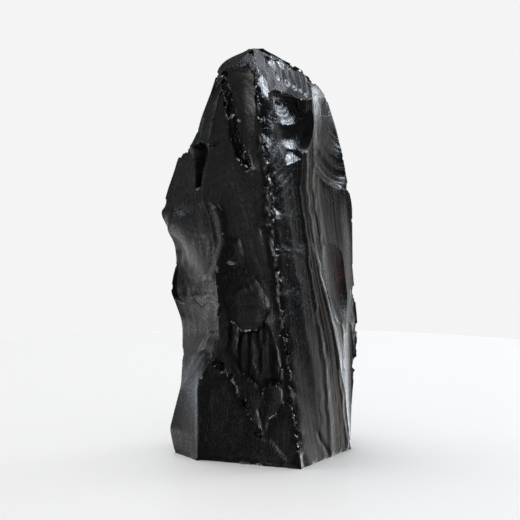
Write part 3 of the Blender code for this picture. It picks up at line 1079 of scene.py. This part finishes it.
def obsidian():
    """Black glass with frosted lines, pale bands, a red-brown patch, painted highlights and painted shade."""
    material = bpy.data.materials.new("obsidian")
    material.use_nodes = True
    tree = material.node_tree
    place = node_of(tree, "TexCoord", {}).outputs["Object"]
    flow = map_of(tree, "flow")
    across, frost = parts_of(tree, flow)["X"], parts_of(tree, map_of(tree, "frost"))
    pale, painted_shade = frost["X"], frost["Y"]
    lines = noise_at(tree, stretched(tree, flow, LINE_SCALE), 1, 3)
    speckle = noise_at(tree, place, 900, 2)
    speckled_highlight = product(tree, pale, between(tree, speckle, 0.30, 0.60, 0.6, 1.0))
    colour = tinted(tree, frost_amount(tree, place, lines, painted_shade), BLACK, FROST)
    colour = tinted(tree, band_amount(tree, flow, across), colour, BAND)
    colour = tinted(tree, brown_amount(tree, place), colour, BROWN)
    fill_inputs(tree, tree.nodes["Principled BSDF"], {
        "IOR": 1.5,
        # painted highlight: the base colour turns pale where highlights and reflections are painted
        "Base Color": tinted(tree, speckled_highlight, colour, PAINTED_HIGHLIGHT_COLOUR),
        # painted shade: the reflection is turned down in the notch, the black streaks and the left facet
        "Specular IOR Level": between(tree, painted_shade, 0.02, 0.30, 0.5, 0.06),
        "Roughness": roughness(tree, speckle, across),
        "Normal": bumps(tree, lines, speckle),
    })
    return material


block.data.materials.clear()
block.data.materials.append(obsidian())
make_active(block)
bpy.ops.object.shade_smooth_by_angle(angle=math.radians(32))
block.name = "obsidian_stone"
block.data.name = "obsidian_stone"
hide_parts("obsidian_block")
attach(block, "root")

# %% [markdown]
# The studio is a small pale table and a soft bright surround that is darker on the camera's side.

# %% Table, light and surround
TABLE_RADIUS = 0.36
TABLE_DEPTH = 0.01
# how bright the backdrop looks, the surround shines on pale things, and the room is in the glass
BACKDROP = 0.905
AROUND = 0.60
ROOM_DIM = 0.10


def make_table():
    """A round pale table whose top is the surface that the stone stands on."""
    deselect_all()
    middle = (0, 0, -TABLE_DEPTH / 2)
    bpy.ops.mesh.primitive_cylinder_add(vertices=128, radius=TABLE_RADIUS, depth=TABLE_DEPTH, location=middle)
    table = bpy.context.active_object
    table.name = "pale_table"
    material = bpy.data.materials.new("pale_table")
    material.use_nodes = True
    paint = {"Base Color": (0.93, 0.93, 0.93, 1), "Roughness": 0.35, "Specular IOR Level": 0.15}
    fill_inputs(material.node_tree, material.node_tree.nodes["Principled BSDF"], paint)
    table.data.materials.append(material)
    table.visible_glossy = False
    return table


# direction, start and full strength as cosines of the angle from it, strength
COOL_GLOWS = {
    "high_window": ((0.70, 0.30, 0.65), 0.80, 0.92, 1.3),
    "high_pane": ((0.55, -0.10, 0.83), 0.985, 0.995, 16.0),
    "left_pane": ((-0.62, -0.10, 0.78), 0.985, 0.995, 12.0),
    "front_pane": ((-0.10, -0.55, 0.83), 0.985, 0.995, 9.0),
    "side_lamp": ((0.90, 0.05, 0.45), 0.93, 0.98, 0.7),
    "left_window": ((-0.66, 0.74, -0.10), 0.955, 0.99, 1.2),
    "scoop_pane": ((0.85, -0.06, 0.52), 0.962, 0.986, 24.0),
    "ceiling_pane": ((0.12, -0.25, 0.96), 0.97, 0.985, 12.0),
    "rim_window": ((0.35, 0.93, -0.10), 0.85, 0.97, 1.6),
    "ceiling": ((-0.20, 0.20, 0.95), 0.60, 0.95, 0.5),
}
WARM_GLOWS = {
    "left_wall": ((-0.97, 0.20, -0.10), 0.943, 1.00, 0.58),
    "left_table": ((-0.90, -0.10, -0.24), 0.945, 0.995, 5.0),
    "right_wall": ((0.75, 0.66, -0.10), 0.82, 0.98, 0.95),
    "left_corner": ((-0.80, -0.55, 0.25), 0.86, 0.98, 0.42),
}
COOL = (0.82, 0.90, 1.0, 1)
WARM = (1.0, 0.985, 0.96, 1)


def glow(tree, direction, towards, start, full, strength):
    """One soft bright patch of the room, as seen in a given direction."""
    aim = Vector(towards).normalized()
    angle = node_of(tree, "VectorMath", {0: direction, 1: aim}, operation="DOT_PRODUCT").outputs["Value"]
    inputs = {"Value": angle, "From Min": start, "From Max": full, "To Max": strength}
    return node_of(tree, "MapRange", inputs, interpolation_type="SMOOTHSTEP").outputs["Result"]


def make_room(tree):
    """The dim room that the glass reflects, with its cool and its warm glows."""
    direction = node_of(tree, "TexCoord", {}).outputs["Generated"]
    furniture = between(tree, noise_at(tree, direction, 3.5, 3), 0.40, 0.60, 0.35, 1.3)
    halves = {}
    for number, (glows, tint) in enumerate(((COOL_GLOWS, COOL), (WARM_GLOWS, WARM))):
        patches = [glow(tree, direction, *patch) for patch in glows.values()]
        strength = product(tree, total_of(tree, [ROOM_DIM / 2, *patches]), furniture)
        half = node_of(tree, "Background", {"Color": tint, "Strength": strength})
        halves[number] = half.outputs["Background"]
    return node_of(tree, "AddShader", halves).outputs["Shader"]


def make_surround():
    """A plain pale backdrop, a soft even surround for pale things, and the room for reflections."""
    world = bpy.data.worlds.new("studio")
    bpy.context.scene.world = world
    world.use_nodes = True
    tree = world.node_tree
    pale = tree.nodes["Background"]
    fill_inputs(tree, pale, {"Color": (BACKDROP, BACKDROP, BACKDROP, 1)})
    soft = node_of(tree, "Background", {"Strength": AROUND}).outputs["Background"]
    rays = node_of(tree, "LightPath", {}).outputs
    plain = {"Fac": rays["Is Camera Ray"], 1: soft, 2: pale.outputs["Background"]}
    first = node_of(tree, "MixShader", plain).outputs["Shader"]
    choice = {"Fac": rays["Is Glossy Ray"], 1: first, 2: make_room(tree)}
    chosen = node_of(tree, "MixShader", choice).outputs["Shader"]
    fill_inputs(tree, tree.nodes["World Output"], {"Surface": chosen})


def make_light(name, place, aim, size, power):
    """A flat lamp of some width and length in metres, turned to its aim."""
    deselect_all()
    bpy.ops.object.light_add(type="AREA", location=place)
    light = bpy.context.active_object
    light.name = name
    light.rotation_euler = (Vector(aim) - Vector(place)).to_track_quat("-Z", "Y").to_euler()
    light.data.shape = "RECTANGLE"
    light.data.size, light.data.size_y = size
    light.data.energy = power
    return light


make_table()
make_surround()
make_light("window", (0.75, 0.45, 0.95), (0, 0, 0.15), (0.35, 0.3), 1.0)
make_light("overhead", (-0.20, 0.25, 1.30), (0, 0, 0), (1.2, 1.2), 13.2).visible_glossy = False
bpy.context.scene.view_settings.view_transform = "Standard"
